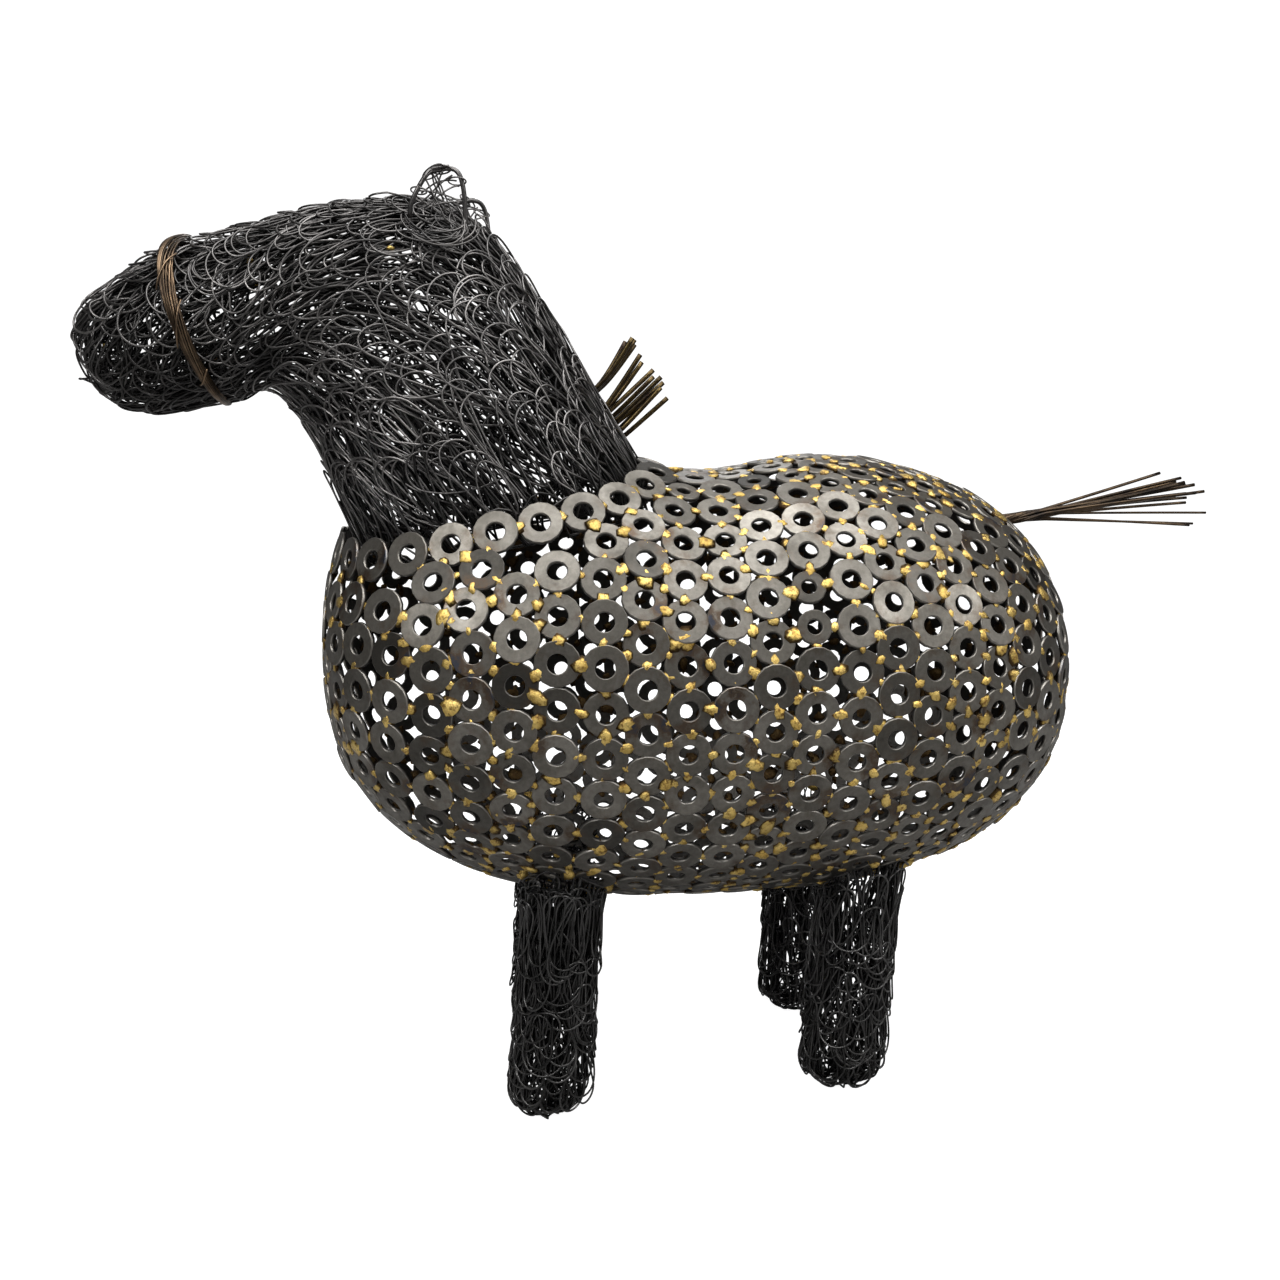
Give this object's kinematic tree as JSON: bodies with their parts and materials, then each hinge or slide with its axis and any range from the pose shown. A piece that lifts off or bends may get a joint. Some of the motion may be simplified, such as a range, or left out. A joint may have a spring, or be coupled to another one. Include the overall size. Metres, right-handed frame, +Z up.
{
  "type": "pony sculpture",
  "caption": "Standing pony sculpture: hollow see-through body of brazed steel washers with a woven wire neck, head and legs, a bronze rod mane tuft and a fanned rod tail.",
  "frame": {"origin": "on the ground under the middle of the whole sculpture's box", "axes": "+X from head to tail along the length, +Z up, the pony's left side toward -Y"},
  "size_m": [0.7068, 0.2778, 0.5539],
  "materials": {
    "washer_steel": "dark satin steel, brass at the brazed joints",
    "black_wire": "black annealed, satin",
    "ear_wire": "black annealed, satin",
    "leg_wire": "black annealed, satin",
    "bronze_wire": "aged bronze, satin",
    "bronze_rod": "aged bronze, satin",
    "dark_bronze_rod": "dark aged bronze, satin"
  },
  "bodies": {
    "root": {"washer_body": "washer_steel", "neck_and_head": "black_wire", "noseband": "bronze_wire", "left_ear": "ear_wire", "right_ear": "ear_wire", "mane_tuft": "bronze_rod", "tail": "dark_bronze_rod", "front_left_leg": "leg_wire", "front_right_leg": "leg_wire", "rear_left_leg": "leg_wire", "rear_right_leg": "leg_wire"}
  },
  "joints": []
}
